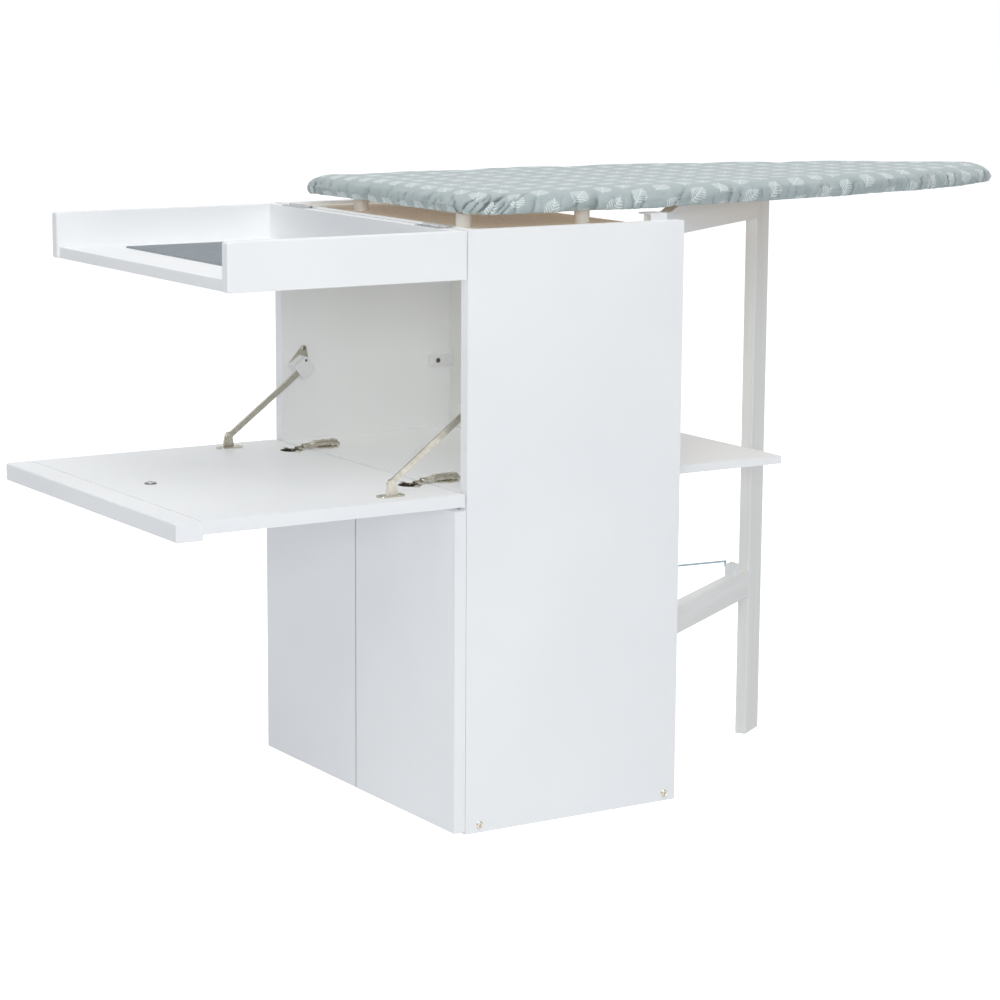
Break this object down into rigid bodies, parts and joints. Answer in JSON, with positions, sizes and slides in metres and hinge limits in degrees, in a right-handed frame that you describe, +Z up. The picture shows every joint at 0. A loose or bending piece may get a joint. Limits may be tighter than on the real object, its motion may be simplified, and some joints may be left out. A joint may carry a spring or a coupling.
{
  "type": "ironing board cabinet",
  "caption": "White cupboard with doors, a fall front on stays and a flip-over lid tray, a padded ironing board on top and a swing-out gate leg behind that carries it.",
  "frame": {"origin": "middle of the body's footprint, on the floor, at the underside of the bottom panel", "axes": "+X to the right side seen from the front, +Y from the front to the back along the board, +Z up"},
  "size_m": [0.5648, 1.6047, 0.895],
  "materials": {
    "white_board": "white laminate, satin",
    "raw_board": "raw chipboard, matte",
    "hardboard": "painted, matte",
    "painted_wood": "white paint, satin",
    "white_plastic": "satin",
    "plywood": "raw, matte",
    "padded_cloth": "woven cotton over padding",
    "plated_steel": "nickel plated",
    "zinc_steel": "blue zinc plated",
    "white_steel": "white paint",
    "ribbed_metal": "ribbed, matte"
  },
  "bodies": {
    "body": {"side_panel_right": "white_board", "side_panel_left": "white_board", "bottom_panel": "white_board", "compartment_floor": "white_board", "top_panel": "raw_board", "top_front_rail": "white_board", "back_panel": "hardboard", "corner_block": "white_plastic", "body_screws": "plated_steel", "catch_magnet": "plated_steel", "board_posts": "white_plastic", "board_core": "plywood", "board_cover": "padded_cloth", "lid_hinge_fixed_leaves": "plated_steel", "lid_hinge_pins": "plated_steel", "flap_hinge_arms": "plated_steel", "door_hinge_arms": "plated_steel", "door_push_catches": "white_plastic", "stay_guides": "white_plastic", "stay_guide_plates": "plated_steel", "gate_bottom_pin": "plated_steel", "gate_top_bracket": "white_steel", "shelf_hinge_fixed_leaves": "plated_steel", "shelf_hinge_pins": "plated_steel", "hook_plate": "zinc_steel"},
    "fall_front": {"flap_panel": "white_board", "flap_grip": "white_board", "strike_button": "plated_steel", "flap_hinge_cups": "plated_steel", "stay_feet": "plated_steel"},
    "stays": {"stay_bars": "plated_steel"},
    "lid": {"lid_panel": "white_board", "lid_wall_right": "white_board", "lid_wall_left": "white_board", "lid_rail": "white_board", "heat_plate": "ribbed_metal", "lid_hinge_moving_leaves": "plated_steel"},
    "right_door": {"door_right": "white_board", "door_right_hinge_cups": "plated_steel"},
    "left_door": {"door_left": "white_board", "door_left_hinge_cups": "plated_steel"},
    "gate": {"gate_leg": "painted_wood", "gate_stile": "painted_wood", "gate_upper_rail": "painted_wood", "gate_lower_rail": "painted_wood", "hook_keeper": "white_plastic"},
    "shelf": {"rear_shelf": "white_board", "shelf_hinge_moving_leaves": "plated_steel"},
    "hook": {"hook_wire": "zinc_steel"}
  },
  "joints": [
    {"name": "flap_hinge", "type": "hinge", "parent": "body", "child": "fall_front", "pos_m": [0, -0.192, 0.479], "axis": [-1, 0, 0], "range_deg": [0, 90]},
    {"name": "stay_pivot", "type": "hinge", "parent": "fall_front", "child": "stays", "pos_m": [0, -0.28, 0.505], "axis": [1, 0, 0], "range_deg": [0, 120.5]},
    {"name": "lid_hinge", "type": "hinge", "parent": "body", "child": "lid", "pos_m": [0, -0.181, 0.85], "axis": [-1, 0, 0], "range_deg": [0, 180]},
    {"name": "door_right_hinge", "type": "hinge", "parent": "body", "child": "right_door", "pos_m": [0.279, -0.1804, 0.2325], "axis": [0, 0, 1], "range_deg": [0, 95]},
    {"name": "door_left_hinge", "type": "hinge", "parent": "body", "child": "left_door", "pos_m": [-0.279, -0.1804, 0.2325], "axis": [0, 0, -1], "range_deg": [0, 95]},
    {"name": "gate_swing", "type": "hinge", "parent": "body", "child": "gate", "pos_m": [0.245, 0.1485, 0.44], "axis": [0, 0, 1], "range_deg": [0, 57.5]},
    {"name": "shelf_fold", "type": "hinge", "parent": "body", "child": "shelf", "pos_m": [0.045, 0.1265, 0.4845], "axis": [1, 0, 0], "range_deg": [0, 90]},
    {"name": "hook_swing", "type": "hinge", "parent": "body", "child": "hook", "pos_m": [0.075, 0.131, 0.29], "axis": [0, 0, 1], "range_deg": [0, 84.6]}
  ],
  "couplings": [
    {"joint": "lid_hinge", "follows": "flap_hinge", "ratio": 2},
    {"joint": "stay_pivot", "follows": "flap_hinge", "ratio": 1.338},
    {"joint": "shelf_fold", "follows": "gate_swing", "ratio": 1.5652},
    {"joint": "hook_swing", "follows": "gate_swing", "ratio": 1.4708}
  ]
}
